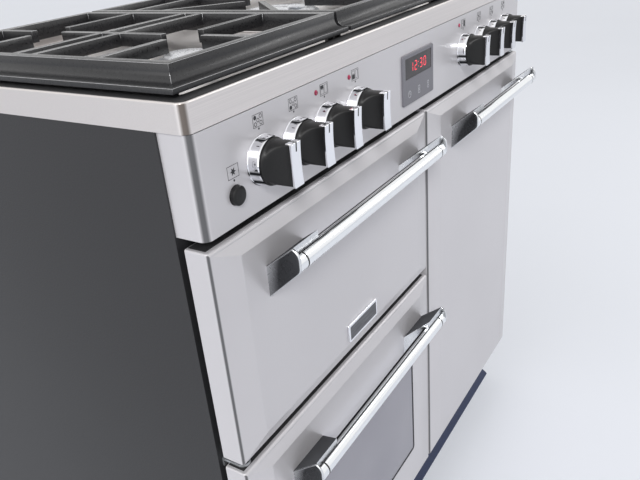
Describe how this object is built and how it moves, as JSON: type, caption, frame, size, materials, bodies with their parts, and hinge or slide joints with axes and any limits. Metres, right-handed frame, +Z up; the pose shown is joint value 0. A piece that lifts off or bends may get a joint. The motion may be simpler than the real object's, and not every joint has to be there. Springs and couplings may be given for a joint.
{
  "type": "range cooker with grill oven, windowed oven and tall oven",
  "caption": "Free-standing dual-fuel range cooker: gas hob with cast pan supports, drop-down grill door, windowed side-opening oven door and tall side-opening oven door.",
  "frame": {"origin": "on the floor, in the middle of the overall box", "axes": "+X to the right along the front, +Y from the front to the wall, +Z up"},
  "size_m": [0.9, 0.647, 0.93],
  "materials": {
    "silver_paint": "semi-gloss",
    "stainless": "satin",
    "chrome": "polished",
    "charcoal_paint": "satin",
    "galvanised": "satin",
    "black_enamel": "gloss",
    "cast_iron": "matte",
    "burner_alloy": "satin",
    "cap_enamel": "semi-gloss",
    "ceramic": "satin",
    "brass": "satin",
    "black_plastic": "semi-gloss",
    "grey_plastic": "matte",
    "display_glass": "gloss",
    "neon_lens": "gloss",
    "window_glass": "gloss",
    "seal_rubber": "matte",
    "bare_wire": "polished"
  },
  "bodies": {
    "cabinet": {"base_frame": "galvanised", "back_panel": "galvanised", "fan_motor": "galvanised", "panel_switches": "galvanised", "door_hinges": "galvanised", "levelling_feet": "black_plastic", "plinth": "charcoal_paint", "side_panel_left": "charcoal_paint", "side_panel_right": "charcoal_paint", "front_frame": "black_enamel", "grill_oven_liner": "black_enamel", "main_oven_liner": "black_enamel", "tall_oven_liner": "black_enamel", "fan_cover": "black_enamel", "door_seals": "seal_rubber", "burner_crowns": "burner_alloy", "burner_cups": "burner_alloy", "oven_racks": "bare_wire", "grill_element": "stainless", "hob_plate": "stainless", "hob_trim": "stainless", "rear_vent": "stainless", "pan_support_left": "cast_iron", "pan_support_centre": "cast_iron", "pan_support_right": "cast_iron", "burner_caps": "cap_enamel", "spark_electrodes": "ceramic", "gas_taps": "brass", "gas_rail": "brass", "control_panel": "silver_paint", "clock_module": "grey_plastic", "clock_display": "display_glass", "knob_bezels": "chrome", "neon_lamps": "neon_lens"},
    "grill_door": {"grill_door_skin": "silver_paint", "grill_door_liner": "black_enamel", "grill_handle_bar": "stainless", "grill_handle_ends": "stainless", "badge_plate": "chrome"},
    "main_door": {"main_door_skin": "silver_paint", "main_door_liner": "black_enamel", "main_handle_bar": "stainless", "main_handle_ends": "stainless", "window_pane": "window_glass", "window_gasket": "seal_rubber", "inner_pane": "window_glass"},
    "tall_door": {"tall_door_skin": "silver_paint", "tall_door_liner": "black_enamel", "tall_handle_bar": "stainless", "tall_handle_ends": "stainless"},
    "oven_fan": {"main_oven_fan": "burner_alloy"},
    "ignition_push_button": {"ignition_button": "black_plastic"},
    "knob_1_body": {"knob_1": "black_plastic"},
    "knob_2_body": {"knob_2": "black_plastic"},
    "knob_3_body": {"knob_3": "black_plastic"},
    "knob_4_body": {"knob_4": "black_plastic"},
    "knob_5_body": {"knob_5": "black_plastic"},
    "knob_6_body": {"knob_6": "black_plastic"},
    "knob_7_body": {"knob_7": "black_plastic"},
    "knob_8_body": {"knob_8": "black_plastic"}
  },
  "joints": [
    {"name": "grill_door_hinge", "type": "hinge", "parent": "cabinet", "child": "grill_door", "pos_m": [-0.2125, -0.2605, 0.527], "axis": [1, 0, 0], "range_deg": [0, 90]},
    {"name": "main_door_hinge", "type": "hinge", "parent": "cabinet", "child": "main_door", "pos_m": [-0.436, -0.2625, 0.309], "axis": [0, 0, -1], "range_deg": [0, 110]},
    {"name": "tall_door_hinge", "type": "hinge", "parent": "cabinet", "child": "tall_door", "pos_m": [0.436, -0.2625, 0.442], "axis": [0, 0, 1], "range_deg": [0, 110]},
    {"name": "oven_fan_spin", "type": "hinge", "parent": "cabinet", "child": "oven_fan", "pos_m": [-0.2125, 0.17, 0.309], "axis": [0, 1, 0], "continuous": true},
    {"name": "ignition_push", "type": "slide", "parent": "cabinet", "child": "ignition_push_button", "axis": [0, 1, 0], "range_m": [0, 0.0025], "stiffness_N_per_m": 600},
    {"name": "knob_1_turn", "type": "hinge", "parent": "cabinet", "child": "knob_1_body", "pos_m": [-0.355, -0.2915, 0.8255], "axis": [0, -1, 0], "range_deg": [0, 225]},
    {"name": "knob_2_turn", "type": "hinge", "parent": "cabinet", "child": "knob_2_body", "pos_m": [-0.296, -0.2915, 0.8255], "axis": [0, -1, 0], "range_deg": [0, 225]},
    {"name": "knob_3_turn", "type": "hinge", "parent": "cabinet", "child": "knob_3_body", "pos_m": [-0.237, -0.2915, 0.8255], "axis": [0, 1, 0], "range_deg": [0, 300]},
    {"name": "knob_4_turn", "type": "hinge", "parent": "cabinet", "child": "knob_4_body", "pos_m": [-0.169, -0.2915, 0.8255], "axis": [0, 1, 0], "range_deg": [0, 300]},
    {"name": "knob_5_turn", "type": "hinge", "parent": "cabinet", "child": "knob_5_body", "pos_m": [0.169, -0.2915, 0.8255], "axis": [0, 1, 0], "range_deg": [0, 300]},
    {"name": "knob_6_turn", "type": "hinge", "parent": "cabinet", "child": "knob_6_body", "pos_m": [0.237, -0.2915, 0.8255], "axis": [0, -1, 0], "range_deg": [0, 225]},
    {"name": "knob_7_turn", "type": "hinge", "parent": "cabinet", "child": "knob_7_body", "pos_m": [0.296, -0.2915, 0.8255], "axis": [0, -1, 0], "range_deg": [0, 225]},
    {"name": "knob_8_turn", "type": "hinge", "parent": "cabinet", "child": "knob_8_body", "pos_m": [0.355, -0.2915, 0.8255], "axis": [0, -1, 0], "range_deg": [0, 225]}
  ]
}
